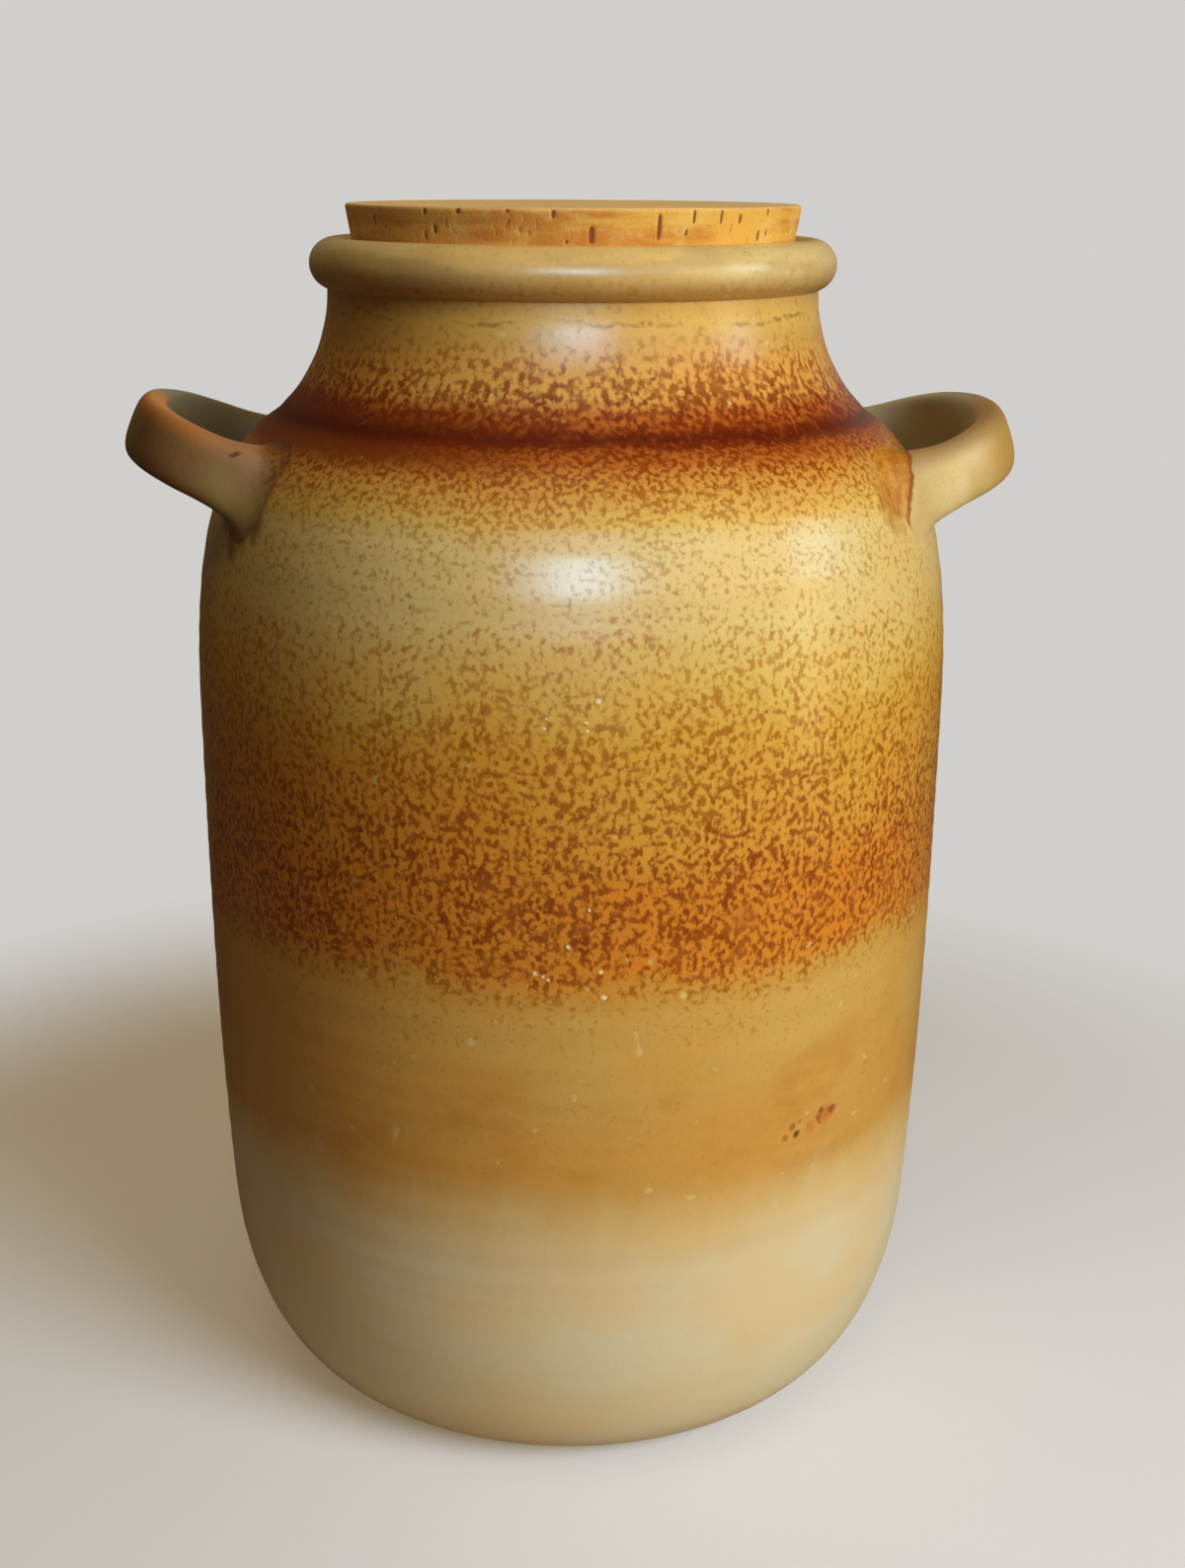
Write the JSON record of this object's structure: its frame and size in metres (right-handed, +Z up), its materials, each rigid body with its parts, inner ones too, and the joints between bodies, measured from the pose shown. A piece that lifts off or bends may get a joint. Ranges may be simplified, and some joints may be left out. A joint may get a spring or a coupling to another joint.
{
  "type": "vinegar crock",
  "caption": "Glazed stoneware crock with a barrel body, short flared neck, beaded rim, strap handles on the shoulder and a wide tapered cork stopper, for keeping vinegar.",
  "frame": {"origin": "centre of the base, on the surface that the crock stands on", "axes": "+Z up along the jar's axis, +X towards the right handle, -Y towards the front in the picture"},
  "size_m": [0.2314, 0.1996, 0.3172],
  "materials": {
    "jar_glaze": "semi-gloss speckled ochre and red-brown stoneware glaze over pale buff clay",
    "handle_glaze": "semi-gloss olive-ochre stoneware glaze",
    "cork": "matt natural cork with dark lenticels"
  },
  "bodies": {
    "crock": {"crock_body": "jar_glaze", "left_handle": "handle_glaze", "right_handle": "handle_glaze"},
    "stopper": {"cork_stopper": "cork"}
  },
  "joints": [
    {"name": "stopper_lift", "type": "slide", "parent": "crock", "child": "stopper", "axis": [0, 0, 1], "range_m": [0, 0.06]}
  ]
}
